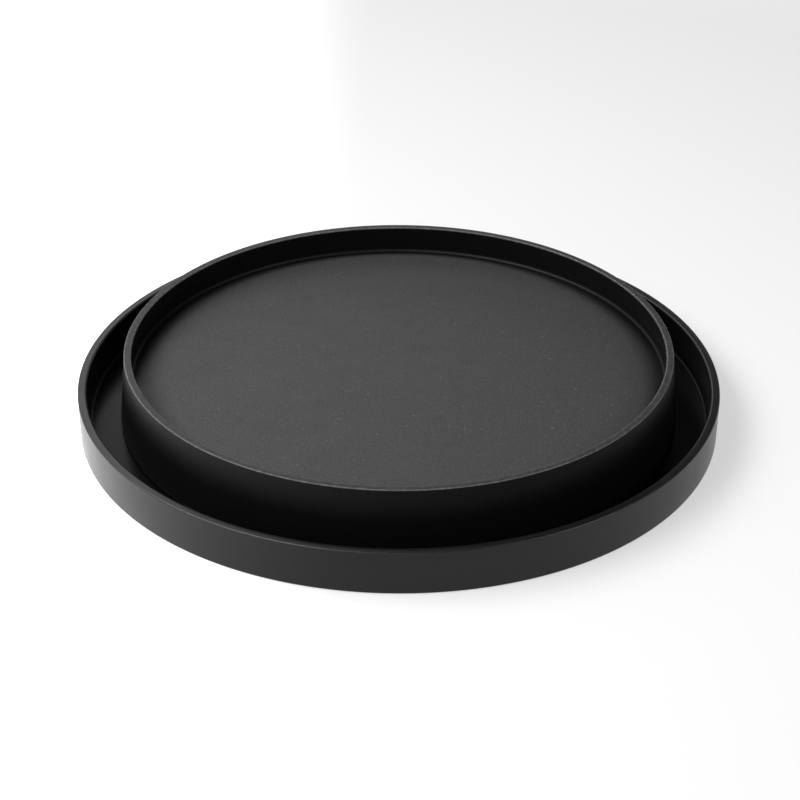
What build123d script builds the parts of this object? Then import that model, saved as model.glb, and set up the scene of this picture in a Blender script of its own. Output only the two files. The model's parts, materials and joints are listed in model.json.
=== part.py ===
from build123d import *
import math
import os

# A round serving tray that turns on a hidden ball bearing inside a low-rimmed base tray.
# Millimetres, +Z up, origin on the turning axis at the surface the tray stands on.

# Driving dimensions: base tray
base_radius = 200.0        # outside of the upright hoop
base_height = 27.3         # top of the hoop above the table
base_wall = 5.5            # thickness of the hoop
base_floor_top = 5.2       # upper face of the floor panel above the table
base_rebate = 2.0          # depth of the hoop's rebate that takes the floor panel
underside = 0.3            # bottom of hoop and floor above the table

# Driving dimensions: turning tray
turn_radius = 170.3        # outside of the conical hoop at its top
turn_foot_radius = 174.9   # outside of the same cone at the base floor
turn_height = 48.4         # top of the hoop above the table
turn_wall = 4.6            # thickness of the hoop, measured level
turn_floor_top = 29.1      # serving surface above the table
turn_floor_thickness = 4.6
turn_groove = 0.8          # depth of the hoop's groove that holds the floor panel
skirt_gap = 1.3            # running gap between the skirt and the base floor

# Driving dimensions: small features shared by both trays
cove_radius = 2.0          # cove between each floor and its hoop
cove_toe = 0.3             # blunt edge of the bead that makes the cove

# Driving dimensions: feet
pad_count = 6
pad_radius = 9.0
pad_thickness = 1.6
pad_circle = 168.0
pad_clearance = 0.1

# Driving dimensions: ball bearing and the wood that carries it
spacer_radius = 76.0
spacer_thickness = 5.0
backing_radius = 64.0
ring_height = 8.0          # height of either bearing ring
ring_offset = 1.5          # the turning ring stands this much higher than the fixed one
lower_ring_outside = 70.0
upper_ring_inside = 38.0
ring_gap = 1.8             # radial gap between the two rings
pitch_radius = 53.5        # circle of the ball centres
ball_radius = 2.5
ball_count = 24
race_clearance = 0.05
cage_thickness = 1.0
cage_height = 7.0
pocket_clearance = 0.15
plug_radius = 2.75
plug_angle = 22.5

# Driving dimensions: countersunk screws
screw_shank = 1.6          # radius
screw_head = 3.1           # radius
screw_head_height = 1.8
screw_count = 4
screw_clearance = 0.05
screw_sink = 0.2           # how far each head lies below its surface
recess_length = 3.4        # cross recess of the driver
recess_width = 0.9
recess_depth = 1.1
lower_screw_circle = 62.5
upper_screw_circle = 44.5
spacer_screw_circle = 67.0
lower_screw_length = 12.0
upper_screw_length = 11.8
spacer_screw_length = 8.8
access_radius = 4.5        # screwdriver hole through the spacer

# Radii and heights that follow
base_inside = base_radius - base_wall
turn_lean = (turn_foot_radius - turn_radius) / (turn_height - base_floor_top)
skirt_bottom = base_floor_top + skirt_gap
turn_floor_bottom = turn_floor_top - turn_floor_thickness
spacer_top = base_floor_top + spacer_thickness
lower_ring_top = spacer_top + ring_height
upper_ring_bottom = spacer_top + ring_offset
upper_ring_top = upper_ring_bottom + ring_height
race_height = (spacer_top + upper_ring_top) / 2
lower_ring_inside = pitch_radius + ring_gap / 2
upper_ring_outside = pitch_radius - ring_gap / 2
race_groove = ball_radius + race_clearance


def turn_outside(height):
    """Radius of the turning hoop's outer face at a height: a cone that narrows upwards."""
    return turn_foot_radius - turn_lean * (height - base_floor_top)


def turn_inside(height):
    return turn_outside(height) - turn_wall


def turned(outline, eased=()):
    """Solid of revolution about Z from a closed outline of (radius, height) corners.

    eased lists the corners to round, each with its radius.
    """
    section = make_face(Polyline(*outline, close=True))
    for corner, radius in eased:
        vertex = section.vertices().sort_by_distance((*corner, 0))[0]
        section = fillet(vertex, radius)
    return revolve(Plane.XZ * section, Axis.Z)


def around(piece, radius, count, first_angle=0.0):
    """Copies of a piece evenly spaced on a circle about Z."""
    step = 360 / count
    return [Rot(0, 0, first_angle + step * i) * Pos(radius, 0, 0) * piece for i in range(count)]


def without(body, cutters):
    for cutter in cutters:
        body = body - cutter
    return body


def group(pieces):
    return Compound(children=pieces)


def countersunk_screw(length):
    """Screw that hangs down from its head, whose flat top is at height 0, with a cross recess."""
    tip = 1.5
    outline = [
        (0, 0),
        (screw_head, 0),
        (screw_head, -0.3),
        (screw_shank, -screw_head_height),
        (screw_shank, tip - length),
        (0.2, -length),
        (0, -length),
    ]
    screw = turned(outline)
    for angle in (0, 90):
        slot = Pos(0, 0, -recess_depth / 2) * Box(recess_length, recess_width, recess_depth)
        screw = screw - Rot(0, 0, angle) * slot
    return screw


def screw_hole(length):
    """The space a countersunk screw needs, a little larger than the screw all round."""
    head = screw_head + screw_clearance
    shank = screw_shank + screw_clearance
    outline = [
        (0, screw_sink + 1),
        (head, screw_sink + 1),
        (head, -0.3),
        (shank, -screw_head_height),
        (shank, -length),
        (0, -length),
    ]
    return turned(outline)


def driven_down(piece, height):
    return Pos(0, 0, height - screw_sink) * piece


def driven_up(piece, height):
    return Pos(0, 0, height + screw_sink) * Rot(180, 0, 0) * piece


def base_rim():
    """Upright hoop, rebated inside at the bottom for the floor panel."""
    rebate_radius = base_inside + base_rebate
    outline = [
        (base_radius, underside),
        (base_radius, base_height),
        (base_inside, base_height),
        (base_inside, base_floor_top),
        (rebate_radius, base_floor_top),
        (rebate_radius, underside),
    ]
    eased = [(outline[0], 0.8), (outline[1], 0.9), (outline[2], 1.5)]
    return turned(outline, eased)


def base_floor():
    """Flat panel with pockets for the pads and holes for the spacer's screws."""
    edge = base_inside + base_rebate
    outline = [(0, underside), (edge, underside), (edge, base_floor_top), (0, base_floor_top)]
    panel = turned(outline)
    pocket_depth = pad_thickness - underside
    pocket = Cylinder(pad_radius + pad_clearance, 2 * pocket_depth)
    pockets = around(Pos(0, 0, underside) * pocket, pad_circle, pad_count, 30)
    hole = driven_up(screw_hole(spacer_screw_length), underside)
    return without(panel, pockets + around(hole, spacer_screw_circle, screw_count, 45))


def cove_bead(wall_radius, lean, floor_height):
    """Ring of filler in the corner between a floor and a hoop, hollowed to a cove.

    wall_radius is the hoop's inner radius at the floor, and lean how fast it narrows upwards.
    """
    reach = cove_radius + cove_toe
    top = floor_height + reach
    wall_top = wall_radius - lean * reach
    bulge = cove_radius * (1 - math.sqrt(0.5))
    toe = (wall_radius - reach, floor_height + cove_toe)
    middle = (wall_radius - cove_toe - bulge, floor_height + cove_toe + bulge)
    head = (wall_top - cove_toe, top)
    section = make_face([
        Line((wall_radius, floor_height), (toe[0], floor_height)),
        Line((toe[0], floor_height), toe),
        ThreePointArc(toe, middle, head),
        Line(head, (wall_top, top)),
        Line((wall_top, top), (wall_radius, floor_height)),
    ])
    return revolve(Plane.XZ * section, Axis.Z)


def turntable_rim():
    """Conical hoop: wall above the serving floor and skirt below it, grooved for the floor."""
    groove_top = turn_floor_top
    outline = [
        (turn_outside(skirt_bottom), skirt_bottom),
        (turn_radius, turn_height),
        (turn_inside(turn_height), turn_height),
        (turn_inside(groove_top), groove_top),
        (turn_inside(groove_top) + turn_groove, groove_top),
        (turn_inside(turn_floor_bottom) + turn_groove, turn_floor_bottom),
        (turn_inside(turn_floor_bottom), turn_floor_bottom),
        (turn_inside(skirt_bottom), skirt_bottom),
    ]
    eased = [(outline[0], 0.8), (outline[1], 0.8), (outline[2], 1.1), (outline[7], 0.8)]
    return turned(outline, eased)


def turntable_floor():
    """Serving panel whose conical edge sits in the hoop's groove."""
    outline = [
        (0, turn_floor_bottom),
        (turn_inside(turn_floor_bottom) + turn_groove, turn_floor_bottom),
        (turn_inside(turn_floor_top) + turn_groove, turn_floor_top),
        (0, turn_floor_top),
    ]
    return turned(outline)


def foot_pads():
    """Thin round pads let into the underside, one solid each."""
    outline = [(0, 0), (pad_radius, 0), (pad_radius, pad_thickness), (0, pad_thickness)]
    pad = turned(outline, [(outline[1], 0.4)])
    return around(pad, pad_circle, pad_count, 30)


def spacer_disc():
    """Disc that lifts the bearing, with pilot holes and one screwdriver hole."""
    outline = [
        (0, base_floor_top),
        (spacer_radius, base_floor_top),
        (spacer_radius, spacer_top),
        (0, spacer_top),
    ]
    disc = turned(outline, [(outline[2], 1.0)])
    from_below = driven_up(screw_hole(spacer_screw_length), underside)
    from_above = driven_down(screw_hole(lower_screw_length), lower_ring_top)
    access = Pos(0, 0, (base_floor_top + spacer_top) / 2) * Cylinder(access_radius, 2 * spacer_thickness)
    cutters = around(from_below, spacer_screw_circle, screw_count, 45)
    cutters += around(from_above, lower_screw_circle, screw_count)
    cutters += around(access, upper_screw_circle, 1, plug_angle)
    return without(disc, cutters)


def race_ring():
    """The round channel that the balls run in, as a cutter."""
    section = Pos(pitch_radius, race_height) * Circle(race_groove)
    return revolve(Plane.XZ * section, Axis.Z)


def radial(piece):
    """Turns a piece standing on Z so that it points outwards at the race's height."""
    return Rot(0, 0, plug_angle) * Pos(0, 0, race_height) * Rot(0, 90, 0) * piece


def bearing_lower_ring():
    """Fixed outer ring, screwed down to the spacer."""
    outline = [
        (lower_ring_inside, spacer_top),
        (lower_ring_outside, spacer_top),
        (lower_ring_outside, lower_ring_top),
        (lower_ring_inside, lower_ring_top),
    ]
    ring = turned(outline, [(outline[1], 0.6), (outline[2], 0.6)]) - race_ring()
    hole = driven_down(screw_hole(lower_screw_length), lower_ring_top)
    ring = without(ring, around(hole, lower_screw_circle, screw_count))
    loading_length = lower_ring_outside - pitch_radius + 2
    loading = Cylinder(plug_radius + screw_clearance, loading_length)
    return ring - radial(Pos(0, 0, pitch_radius + loading_length / 2) * loading)


def race_filling_plug():
    """Slotted plug in the hole through which the balls are loaded."""
    inner_end = pitch_radius + race_groove + 0.25
    length = lower_ring_outside - 0.4 - inner_end
    plug = Pos(0, 0, inner_end + length / 2) * Cylinder(plug_radius, length)
    slot_depth = 1.4
    slot = Pos(0, 0, inner_end + length - slot_depth / 2) * Box(1.0, 4 * plug_radius, slot_depth)
    return radial(plug - slot)


def bearing_upper_ring():
    """Turning inner ring, screwed up to the backing disc."""
    outline = [
        (upper_ring_inside, upper_ring_bottom),
        (upper_ring_outside, upper_ring_bottom),
        (upper_ring_outside, upper_ring_top),
        (upper_ring_inside, upper_ring_top),
    ]
    ring = turned(outline, [(outline[0], 0.6), (outline[3], 0.6)]) - race_ring()
    hole = driven_up(screw_hole(upper_screw_length), upper_ring_bottom)
    return without(ring, around(hole, upper_screw_circle, screw_count, plug_angle))


def ball_cage():
    """Strip cage: a thin ring with one round pocket for each ball."""
    inside = pitch_radius - cage_thickness / 2
    bottom = race_height - cage_height / 2
    outline = [
        (inside, bottom),
        (inside + cage_thickness, bottom),
        (inside + cage_thickness, bottom + cage_height),
        (inside, bottom + cage_height),
    ]
    pocket = Pos(0, 0, race_height) * Rot(0, 90, 0) * Cylinder(ball_radius + pocket_clearance, 4)
    return without(turned(outline), around(pocket, pitch_radius, ball_count))


def bearing_balls():
    return group(around(Pos(0, 0, race_height) * Sphere(ball_radius), pitch_radius, ball_count))


def backing_disc():
    """Disc bonded under the serving floor, which takes the turning ring's screws."""
    outline = [
        (0, upper_ring_top),
        (backing_radius, upper_ring_top),
        (backing_radius, turn_floor_bottom),
        (0, turn_floor_bottom),
    ]
    disc = turned(outline, [(outline[1], 1.0)])
    hole = driven_up(screw_hole(upper_screw_length), upper_ring_bottom)
    return without(disc, around(hole, upper_screw_circle, screw_count, plug_angle))


def screws(screw, circle, first_angle=0.0):
    return group(around(screw, circle, screw_count, first_angle))


nodes = {
    "base_rim": base_rim(),
    "base_floor": base_floor(),
    "base_cove_bead": cove_bead(base_inside, 0, base_floor_top),
    "turntable_rim": turntable_rim(),
    "turntable_floor": turntable_floor(),
    "turntable_cove_bead": cove_bead(turn_inside(turn_floor_top), turn_lean, turn_floor_top),
    "spacer_disc": spacer_disc(),
    "spacer_screws": screws(
        driven_up(countersunk_screw(spacer_screw_length), underside), spacer_screw_circle, 45
    ),
    "bearing_lower_ring": bearing_lower_ring(),
    "lower_ring_screws": screws(
        driven_down(countersunk_screw(lower_screw_length), lower_ring_top), lower_screw_circle
    ),
    "race_filling_plug": race_filling_plug(),
    "bearing_balls": bearing_balls(),
    "ball_cage": ball_cage(),
    "bearing_upper_ring": bearing_upper_ring(),
    "upper_ring_screws": screws(
        driven_up(countersunk_screw(upper_screw_length), upper_ring_bottom), upper_screw_circle, plug_angle
    ),
    "backing_disc": backing_disc(),
}
for number, pad in enumerate(foot_pads(), start=1):
    nodes[f"foot_pad_{number}"] = pad

os.makedirs("parts", exist_ok=True)
for name, shape in nodes.items():
    export_step(shape, f"parts/{name}.step")
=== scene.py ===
import bpy
import bmesh
import json
import math
from mathutils import Matrix, Vector


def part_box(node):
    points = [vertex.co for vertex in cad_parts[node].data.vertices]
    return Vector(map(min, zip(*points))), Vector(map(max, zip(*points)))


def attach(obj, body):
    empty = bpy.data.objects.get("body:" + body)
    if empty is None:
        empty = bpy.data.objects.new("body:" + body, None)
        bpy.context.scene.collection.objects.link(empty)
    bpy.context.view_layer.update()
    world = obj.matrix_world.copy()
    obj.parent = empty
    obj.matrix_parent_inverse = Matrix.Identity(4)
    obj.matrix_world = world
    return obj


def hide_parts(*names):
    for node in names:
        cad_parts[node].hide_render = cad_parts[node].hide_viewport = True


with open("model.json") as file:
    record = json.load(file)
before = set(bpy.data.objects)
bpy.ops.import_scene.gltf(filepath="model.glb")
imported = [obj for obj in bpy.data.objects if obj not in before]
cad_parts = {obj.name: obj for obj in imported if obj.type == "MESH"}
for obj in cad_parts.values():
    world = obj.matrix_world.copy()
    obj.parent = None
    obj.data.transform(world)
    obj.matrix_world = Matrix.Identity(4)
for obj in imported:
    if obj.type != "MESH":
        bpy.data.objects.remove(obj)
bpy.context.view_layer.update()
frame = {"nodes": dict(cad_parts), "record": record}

# Sizes in metres that the boxes of the frame don't give
SEGMENTS = 384             # faces round each turned piece
SHARP_ANGLE = 35           # degrees, above which an edge is shown sharp
BASE_WALL = 0.0055
BASE_OUTER_EASE = 0.0009
BASE_INNER_EASE = 0.0015
BASE_FOOT_EASE = 0.0008
REBATE_EASE = 0.0002
TURN_WALL = 0.0046
TURN_LEAN = 4.6 / 43.2     # how fast the turning hoop narrows towards its top
TURN_EASE = 0.0008
TURN_INNER_EASE = 0.0011
TURN_GROOVE = 0.0008       # how deep the serving floor sits in the turning hoop
COVE = 0.0020
PAD_GROOVE = 0.00035       # depth of the round grooves under a pad
PAD_CORE = 0.25            # share of a pad's radius inside its innermost ring of faces
PAD_FOOT_EASE = 0.0004
PAD_TOP_EASE = 0.0002
PAINTED_SHADE_NARROW = 0.0060    # width of the painted shade along the serving floor's edge at its front and back
PAINTED_SHADE_WIDE = 0.0160      # and at its two sides
PAINTED_SHADE_STEPS = 18
PANEL_RINGS = 6            # rings of faces between a floor panel's middle and its edge
TOP_DUST_AND_SHEEN = 0.3             # how far the flat top of the turning hoop is marked lighter grey, partly as dust and partly as painted sheen
TOP_DUST_AND_SHEEN_DEPTH = 0.0003


# ---------------------------------------------------------------- turned pieces

def arc(centre, radius, start, end, steps):
    """Points of an arc in the (radius, height) plane, angles in degrees."""
    points = []
    for i in range(steps + 1):
        angle = math.radians(start + (end - start) * i / steps)
        points.append((centre[0] + radius * math.cos(angle), centre[1] + radius * math.sin(angle)))
    return points


def rounded(corners, steps=6):
    """A closed outline from (radius, height, rounding) corners, with each corner eased by an arc."""
    outline = []
    edge = []
    count = len(corners)
    for i, (r, z, ease) in enumerate(corners):
        here = Vector((r, z))
        if ease == 0:
            outline.append(here)
            edge.append(0.0)
            continue
        before = (Vector(corners[i - 1][:2]) - here).normalized()
        after = (Vector(corners[(i + 1) % count][:2]) - here).normalized()
        half = before.angle(after) / 2
        reach = ease / math.tan(half)
        centre = here + (before + after).normalized() * ease / math.sin(half)
        start = here + before * reach - centre
        sweep = start.angle_signed(here + after * reach - centre)
        for step in range(steps + 1):
            share = step / steps
            turn = Matrix.Rotation(-sweep * share, 2)
            outline.append(centre + turn @ start)
            edge.append(math.sin(math.pi * share))
    return outline, edge


def turned(name, body, outline, marks, node, material, closed=True, mark="edge_wear_and_highlight"):
    """A smooth turned piece that stands for a CAD node. marks holds the material's mark at each point."""
    mesh = bpy.data.meshes.new(name)
    bm = bmesh.new()
    layer = bm.verts.layers.float.new(mark)
    rings = []
    for point, share in zip(outline, marks):
        ring = []
        for i in range(SEGMENTS):
            angle = 2 * math.pi * i / SEGMENTS
            vertex = bm.verts.new((point[0] * math.cos(angle), point[0] * math.sin(angle), point[1]))
            vertex[layer] = share
            ring.append(vertex)
        rings.append(ring)
    pairs = list(zip(rings, rings[1:] + rings[:1])) if closed else list(zip(rings, rings[1:]))
    for lower, upper in pairs:
        for i in range(SEGMENTS):
            j = (i + 1) % SEGMENTS
            bm.faces.new((lower[i], lower[j], upper[j], upper[i]))
    if not closed:
        bm.faces.new(rings[0][::-1])
        bm.faces.new(rings[-1])
    bmesh.ops.recalc_face_normals(bm, faces=bm.faces)
    bm.to_mesh(mesh)
    bm.free()
    mesh.shade_smooth()
    mesh.set_sharp_from_angle(angle=math.radians(SHARP_ANGLE))
    mesh.materials.append(material)
    piece = bpy.data.objects.new(name, mesh)
    bpy.context.scene.collection.objects.link(piece)
    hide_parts(node)
    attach(piece, body)
    return piece


# ---------------------------------------------------------------- materials

class Nodes:
    """A short way to write a node material."""

    def __init__(self, name):
        self.material = bpy.data.materials.new(name)
        self.material.use_nodes = True
        self.tree = self.material.node_tree
        self.shader = self.tree.nodes["Principled BSDF"]
        place = self.tree.nodes.new("ShaderNodeTexCoord")
        self.place = place.outputs["Object"]

    def join(self, source, target):
        self.tree.links.new(source, target)

    def noise(self, scale, detail=3.0, roughness=0.55):
        node = self.tree.nodes.new("ShaderNodeTexNoise")
        node.inputs["Scale"].default_value = scale
        node.inputs["Detail"].default_value = detail
        node.inputs["Roughness"].default_value = roughness
        self.join(self.place, node.inputs["Vector"])
        return node.outputs["Fac"]

    def spread(self, value, low, high, start=0.3, end=0.7):
        """Maps a noise value from start..end to low..high."""
        node = self.tree.nodes.new("ShaderNodeMapRange")
        node.inputs["From Min"].default_value = start
        node.inputs["From Max"].default_value = end
        node.inputs["To Min"].default_value = low
        node.inputs["To Max"].default_value = high
        self.join(value, node.inputs["Value"])
        return node.outputs["Result"]

    def blend(self, share, first, second):
        """Mixes two colours, each a tuple or a socket."""
        node = self.tree.nodes.new("ShaderNodeMix")
        node.data_type = "RGBA"
        self.join(share, node.inputs[0])
        for socket, value in ((node.inputs[6], first), (node.inputs[7], second)):
            if isinstance(value, tuple):
                socket.default_value = (*value, 1.0)
            else:
                self.join(value, socket)
        return node.outputs[2]

    def sum(self, first, second, kind="ADD"):
        node = self.tree.nodes.new("ShaderNodeMath")
        node.operation = kind
        self.join(first, node.inputs[0])
        if isinstance(second, float):
            node.inputs[1].default_value = second
        else:
            self.join(second, node.inputs[1])
        return node.outputs[0]

    def attribute(self, name):
        node = self.tree.nodes.new("ShaderNodeAttribute")
        node.attribute_name = name
        return node.outputs["Fac"]

    def bump(self, height, strength, distance):
        node = self.tree.nodes.new("ShaderNodeBump")
        node.inputs["Strength"].default_value = strength
        node.inputs["Distance"].default_value = distance
        self.join(height, node.inputs["Height"])
        self.join(node.outputs["Normal"], self.shader.inputs["Normal"])


def black_lacquer(name, dark, light, rough_low, rough_high, grain, grain_bump, specular, wear_highlight_grey=0.02):
    """Black lacquer on a hoop: fine speckle, a faint orange-peel surface, and edges in a lighter grey
    that is partly rubbed wear and partly a painted highlight along the rounded edges.
    """
    m = Nodes(name)
    speck = m.spread(m.noise(grain, 2.0), 0.0, 1.0, 0.35, 0.65)
    body = m.blend(speck, (dark,) * 3, (light,) * 3)
    chips = m.spread(m.noise(420.0, 3.0), 0.55, 1.0, 0.40, 0.70)
    # Edges turn lighter grey and rougher: partly rubbed wear, partly a painted highlight along the
    # rounded edges
    wear_highlight_share = m.sum(m.attribute("edge_wear_and_highlight"), chips, "MULTIPLY")
    m.join(m.blend(wear_highlight_share, body, (wear_highlight_grey,) * 3), m.shader.inputs["Base Color"])
    gloss = m.sum(m.spread(m.noise(30.0, 5.0), rough_low, rough_high), m.sum(wear_highlight_share, 0.12, "MULTIPLY"))
    m.join(gloss, m.shader.inputs["Roughness"])
    m.shader.inputs["Specular IOR Level"].default_value = specular
    peel = m.sum(m.noise(grain * 1.3, 2.0), m.sum(m.noise(160.0, 2.0), 2.0, "MULTIPLY"))
    m.bump(peel, grain_bump, 0.0002)
    return m.material


def lacquer_with_painted_wall_shade(name):
    """Matt lacquer of the serving floor: hazy with fine specks, with painted shade that darkens its edge
    by the wall.
    """
    m = Nodes(name)
    edge_shade = m.attribute("painted_wall_shade")
    speck = m.spread(m.noise(900.0, 3.0), 0.0, 1.0, 0.33, 0.67)
    haze = m.blend(speck, (0.023,) * 3, (0.039,) * 3)
    dust = m.spread(m.noise(520.0, 2.0), 0.0, 1.0, 0.70, 0.78)
    floor_colour = m.blend(dust, haze, (0.130,) * 3)
    # Painted shade: by the wall the colour is blended to near black, and below its roughness is lowered
    m.join(m.blend(edge_shade, floor_colour, (0.002,) * 3), m.shader.inputs["Base Color"])
    matt = m.spread(m.noise(45.0, 5.0), 0.50, 0.58)
    m.join(m.sum(matt, m.sum(edge_shade, -0.26, "MULTIPLY")), m.shader.inputs["Roughness"])
    m.shader.inputs["Specular IOR Level"].default_value = 0.18
    m.bump(m.sum(m.noise(1100.0, 2.0), m.sum(m.noise(170.0, 2.0), 2.0, "MULTIPLY")), 0.22, 0.0002)
    return m.material


def stained_ply(name):
    """Plywood stained black: a fine streaked grain."""
    m = Nodes(name)
    grain = m.spread(m.noise(70.0, 6.0, 0.7), 0.0, 1.0)
    m.join(m.blend(grain, (0.030, 0.026, 0.022), (0.075, 0.066, 0.056)), m.shader.inputs["Base Color"])
    m.join(m.spread(m.noise(300.0), 0.60, 0.82), m.shader.inputs["Roughness"])
    m.bump(m.noise(600.0, 4.0), 0.3, 0.0002)
    return m.material


def metal(name, dark, light, rough_low, rough_high, scale):
    """Bare metal with a fine cloudy finish."""
    m = Nodes(name)
    m.join(m.blend(m.spread(m.noise(scale, 5.0), 0.0, 1.0), dark, light), m.shader.inputs["Base Color"])
    m.join(m.spread(m.noise(scale * 3, 3.0), rough_low, rough_high), m.shader.inputs["Roughness"])
    m.shader.inputs["Metallic"].default_value = 1.0
    m.bump(m.noise(scale * 8, 2.0), 0.08, 0.0001)
    return m.material


def moulded(name, dark, light, rough_low, rough_high, scale):
    """Moulded rubber or plastic with a fine grain."""
    m = Nodes(name)
    m.join(m.blend(m.spread(m.noise(scale, 4.0), 0.0, 1.0), dark, light), m.shader.inputs["Base Color"])
    m.join(m.spread(m.noise(scale * 2, 3.0), rough_low, rough_high), m.shader.inputs["Roughness"])
    m.bump(m.noise(scale * 12, 3.0), 0.25, 0.0001)
    return m.material


satin_black = black_lacquer("satin_black_lacquer", dark=0.001, light=0.002,
                            rough_low=0.28, rough_high=0.34,
                            grain=1400.0, grain_bump=0.04, specular=0.31, wear_highlight_grey=0.012)
# The turning hoop's light grey edges and top are partly wear and dust, partly a painted highlight and
# sheen
turning_black = black_lacquer("turning_black_lacquer", dark=0.002, light=0.004,
                              rough_low=0.36, rough_high=0.42,
                              grain=1400.0, grain_bump=0.04, specular=0.08, wear_highlight_grey=0.110)
# Painted shade: a darker, barely reflective copy of the lacquer for the base floor in the channel
shaded_channel_black = black_lacquer("channel_black_lacquer", dark=0.0008, light=0.0016,
                              rough_low=0.24, rough_high=0.28,
                              grain=1100.0, grain_bump=0.06, specular=0.06)
bead_black = black_lacquer("bead_black_filler", dark=0.002, light=0.005,
                           rough_low=0.44, rough_high=0.52,
                           grain=1800.0, grain_bump=0.10, specular=0.12)
matt_black = lacquer_with_painted_wall_shade("matt_black_lacquer")
finishes = {
    "satin_black_hoop": satin_black,
    "matt_black_floor": matt_black,
    "black_stained_ply": stained_ply("black_stained_plywood"),
    "zinc_steel": metal("zinc_plated_steel", (0.42, 0.42, 0.40), (0.62, 0.61, 0.58), 0.28, 0.42, 900.0),
    "bearing_aluminium": metal("turned_aluminium", (0.62, 0.62, 0.63), (0.78, 0.78, 0.79),
                               0.22, 0.34, 400.0),
    "polished_steel": metal("polished_bearing_steel", (0.62, 0.62, 0.62), (0.72, 0.72, 0.72),
                            0.06, 0.12, 900.0),
    "white_nylon": moulded("white_nylon", (0.68, 0.67, 0.62), (0.80, 0.79, 0.74), 0.40, 0.52, 300.0),
    "black_rubber": moulded("black_rubber", (0.016, 0.016, 0.016), (0.034, 0.034, 0.033),
                            0.70, 0.86, 500.0),
}


# ---------------------------------------------------------------- the visible turned pieces

def make_base_rim():
    low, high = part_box("base_rim")
    floor_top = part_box("base_floor")[1].z
    floor_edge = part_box("base_floor")[1].x
    outside = high.x
    inside = outside - BASE_WALL
    corners = [
        (outside, low.z, BASE_FOOT_EASE),
        (outside, high.z, BASE_OUTER_EASE),
        (inside, high.z, BASE_INNER_EASE),
        (inside, floor_top, 0),
        (floor_edge, floor_top, 0),
        (floor_edge, low.z, REBATE_EASE),
    ]
    outline, edge = rounded(corners)
    turned("base_rim_smooth", "base", outline, edge, "base_rim", satin_black)
    make_cove("base_cove", "base", inside, 0, "base_cove_bead")


def make_cove(name, body, wall, lean, node):
    """The concave bead between a floor and its hoop, whose inner radius at the floor is wall."""
    low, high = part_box(node)
    reach = high.z - low.z
    wall_top = wall - lean * reach
    hollow = [(r - lean * (z - low.z), z) for r, z in arc((wall - reach, high.z), COVE, -90, 0, 10)]
    outline = [(wall, low.z), (wall - reach, low.z), *hollow, (wall_top, high.z)]
    turned(name, body, outline, [0.0] * len(outline), node, bead_black)


def make_turntable_rim():
    low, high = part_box("turntable_rim")
    floor_low, floor_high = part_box("turntable_floor")

    def outside(height):
        return high.x - TURN_LEAN * (height - low.z)

    def inside(height):
        return outside(height) - TURN_WALL

    corners = [
        (outside(low.z), low.z, TURN_EASE),
        (outside(high.z), high.z, TURN_EASE),
        (inside(high.z), high.z, TURN_INNER_EASE),
        (inside(floor_high.z), floor_high.z, 0),
        (inside(floor_high.z) + TURN_GROOVE, floor_high.z, 0),
        (inside(floor_low.z) + TURN_GROOVE, floor_low.z, 0),
        (inside(floor_low.z), floor_low.z, 0),
        (inside(low.z), low.z, TURN_EASE),
    ]
    outline, edge = rounded(corners)
    # The flat top is marked too: partly dust, partly painted sheen
    dust_and_sheen_height = high.z - TOP_DUST_AND_SHEEN_DEPTH
    edge = [max(mark, TOP_DUST_AND_SHEEN) if point[1] > dust_and_sheen_height else mark for point, mark in zip(outline, edge)]
    turned("turntable_rim_smooth", "turntable", outline, edge, "turntable_rim",
           turning_black)
    make_cove("turntable_cove", "turntable", inside(floor_high.z), TURN_LEAN, "turntable_cove_bead")


def make_turntable_floor():
    """The serving floor. Its edge by the hoop is marked for painted shade, wider at the two sides than at
    the front and back.
    """
    low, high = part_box("turntable_floor")
    edge = high.x - TURN_LEAN * (high.z - low.z)
    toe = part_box("turntable_cove_bead")[1].x - COVE
    widest = toe - PAINTED_SHADE_WIDE
    under = [(high.x * i / PANEL_RINGS, low.z) for i in range(1, PANEL_RINGS + 1)]
    over = [(toe - PAINTED_SHADE_WIDE * i / PAINTED_SHADE_STEPS, high.z) for i in range(PAINTED_SHADE_STEPS + 1)]
    centre = [(widest * i / PANEL_RINGS, high.z) for i in range(PANEL_RINGS - 1, 0, -1)]
    outline = under + [(edge, high.z)] + over + centre
    floor = turned("turntable_floor_smooth", "turntable", outline, [0.0] * len(outline),
                   "turntable_floor", matt_black, closed=False, mark="painted_wall_shade")
    # Painted shade: the mark fades in from the wall over a width that is wider at the two sides than at
    # the front and back
    marks = floor.data.attributes["painted_wall_shade"].data
    for vertex in floor.data.vertices:
        radius = vertex.co.xy.length
        across = (vertex.co.x / radius) ** 2
        width = PAINTED_SHADE_NARROW + (PAINTED_SHADE_WIDE - PAINTED_SHADE_NARROW) * across
        share = min(1.0, max(0.0, (toe - radius) / width))
        marks[vertex.index].value = 1.0 - share * share * (3.0 - 2.0 * share)


def make_foot_pad(node):
    """A rubber pad with eased edges and two shallow round grooves underneath."""
    low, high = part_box(node)
    centre = (low + high) / 2
    radius = (high.x - low.x) / 2
    top = high.z - low.z
    outline, edge = rounded([
        (radius * PAD_CORE, 0, 0), (radius * 0.40, 0, 0), (radius * 0.44, PAD_GROOVE, 0),
        (radius * 0.50, PAD_GROOVE, 0), (radius * 0.54, 0, 0), (radius * 0.68, 0, 0),
        (radius * 0.72, PAD_GROOVE, 0), (radius * 0.78, PAD_GROOVE, 0), (radius * 0.82, 0, 0),
        (radius, 0, PAD_FOOT_EASE), (radius, top, PAD_TOP_EASE), (radius * PAD_CORE, top, 0),
    ])
    pad = turned(node + "_rubber", "base", outline, edge, node,
                 finishes["black_rubber"], closed=False)
    for vertex in pad.data.vertices:
        vertex.co += Vector((centre.x, centre.y, low.z))


make_base_rim()
make_turntable_rim()
make_turntable_floor()
for number in range(1, 7):
    make_foot_pad(f"foot_pad_{number}")

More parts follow.
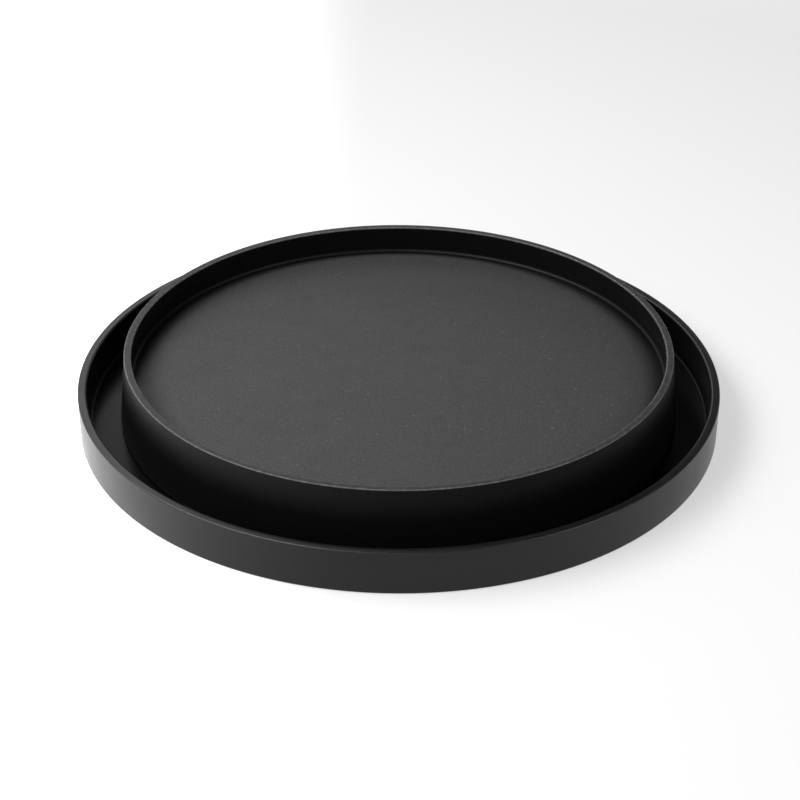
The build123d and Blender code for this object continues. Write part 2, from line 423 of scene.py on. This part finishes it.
# All other pieces keep the CAD's meshes and only take on a finish
slots = {row["node"]: row["material_slot"] for row in frame["record"]["subparts"]}
for node, shown in frame["nodes"].items():
    for place in shown.material_slots:
        place.material = finishes[slots[node]]
# The base floor, which has the same slot as the serving floor, takes a smoother, far darker and barely
# reflective copy of the lacquer: painted shade for the channel between the trays
for place in frame["nodes"]["base_floor"].material_slots:
    place.material = shaded_channel_black


# ---------------------------------------------------------------- studio

FLOOR_HALF = 40.0
CAMERA_ELEVATION = 30.608
CAMERA_DISTANCE = 1.1942
CAMERA_ROLL = 0.231
CAMERA_LENS = 84.44
CAMERA_SHIFT = (0.00167, 0.00949)
SENSOR_WIDTH = 36.0
FLOOR_GREY = 0.30
FLOOR_ROUGHNESS = 0.8
SIDE_GLOW = (0.50, 2.90)       # the table's own light, to the right and to the left of the tray
SIDE_GLOW_REACH = (0.02, 0.44)
FAR_GLOW = 0.6                 # added far from the tray
FAR_GLOW_REACH = (0.8, 3.0)


def pale_floor():
    """A pale table that glows a little, more on the left and far away."""
    mesh = bpy.data.meshes.new("studio_floor")
    half = FLOOR_HALF
    mesh.from_pydata([(-half, -half, 0), (half, -half, 0), (half, half, 0), (-half, half, 0)], [],
                     [(0, 1, 2, 3)])
    m = Nodes("studio_floor")
    m.shader.inputs["Base Color"].default_value = (FLOOR_GREY, FLOOR_GREY, FLOOR_GREY, 1.0)
    m.shader.inputs["Roughness"].default_value = FLOOR_ROUGHNESS
    m.shader.inputs["Emission Color"].default_value = (1.0, 1.0, 1.0, 1.0)
    across = m.tree.nodes.new("ShaderNodeSeparateXYZ")
    m.join(m.place, across.inputs[0])
    leftwards = m.sum(across.outputs["X"], -1.0, "MULTIPLY")
    glow = m.spread(leftwards, *SIDE_GLOW, *SIDE_GLOW_REACH)
    glow.node.interpolation_type = "SMOOTHSTEP"
    distance = m.tree.nodes.new("ShaderNodeVectorMath")
    distance.operation = "LENGTH"
    m.join(m.place, distance.inputs[0])
    glow = m.sum(glow, m.spread(distance.outputs["Value"], 0.0, FAR_GLOW, *FAR_GLOW_REACH))
    m.join(glow, m.shader.inputs["Emission Strength"])
    # Seen from below it is clear, so that the underside of the tray can be looked at
    side = m.tree.nodes.new("ShaderNodeNewGeometry")
    clear = m.tree.nodes.new("ShaderNodeBsdfTransparent")
    mix = m.tree.nodes.new("ShaderNodeMixShader")
    m.join(side.outputs["Backfacing"], mix.inputs[0])
    m.join(m.shader.outputs[0], mix.inputs[1])
    m.join(clear.outputs[0], mix.inputs[2])
    m.join(mix.outputs[0], m.tree.nodes["Material Output"].inputs["Surface"])
    mesh.materials.append(m.material)
    floor = bpy.data.objects.new("studio_floor", mesh)
    bpy.context.scene.collection.objects.link(floor)


def softbox(name, azimuth, elevation, distance, width, height, power):
    """A rectangular area light aimed at the tray. Azimuth 0 is behind it, 90 to its right."""
    a = math.radians(azimuth)
    e = math.radians(elevation)
    away = Vector((math.sin(a) * math.cos(e), math.cos(a) * math.cos(e), math.sin(e)))
    data = bpy.data.lights.new(name, "AREA")
    data.shape = "RECTANGLE"
    data.size = width
    data.size_y = height
    data.energy = power
    lamp = bpy.data.objects.new(name, data)
    lamp.location = away * distance
    lamp.rotation_euler = away.to_track_quat("Z", "Y").to_euler()
    bpy.context.scene.collection.objects.link(lamp)


def camera():
    """A camera in front of the tray, aimed at the middle of its footprint."""
    e = math.radians(CAMERA_ELEVATION)
    away = Vector((0, -math.cos(e), math.sin(e)))
    data = bpy.data.cameras.new("camera")
    data.lens = CAMERA_LENS
    data.sensor_width = SENSOR_WIDTH
    data.shift_x, data.shift_y = CAMERA_SHIFT
    eye = bpy.data.objects.new("camera", data)
    eye.location = away * CAMERA_DISTANCE
    aim = away.to_track_quat("Z", "Y").to_matrix() @ Matrix.Rotation(math.radians(CAMERA_ROLL), 3, "Z")
    eye.rotation_euler = aim.to_euler()
    bpy.context.scene.collection.objects.link(eye)
    bpy.context.scene.camera = eye


def surroundings(strength):
    """An even, faint light from all round."""
    world = bpy.data.worlds.new("studio")
    world.use_nodes = True
    world.node_tree.nodes["Background"].inputs["Color"].default_value = (1.0, 1.0, 1.0, 1.0)
    world.node_tree.nodes["Background"].inputs["Strength"].default_value = strength
    bpy.context.scene.world = world


pale_floor()
softbox("left_softbox", azimuth=-106.0, elevation=52.0, distance=1.15,
        width=1.3, height=0.6, power=26.0)
softbox("back_left_softbox", azimuth=-26.0, elevation=36.0, distance=2.2,
        width=1.8, height=1.0, power=10.0)
softbox("right_softbox", azimuth=114.0, elevation=38.0, distance=2.0,
        width=0.8, height=0.6, power=15.0)
softbox("back_strip", azimuth=5.0, elevation=12.0, distance=2.2,
        width=2.2, height=0.50, power=4.0)
softbox("front_softbox", azimuth=190.0, elevation=20.0, distance=2.2,
        width=2.0, height=0.8, power=6.0)
surroundings(0.08)
camera()
bpy.context.scene.view_settings.view_transform = "Standard"
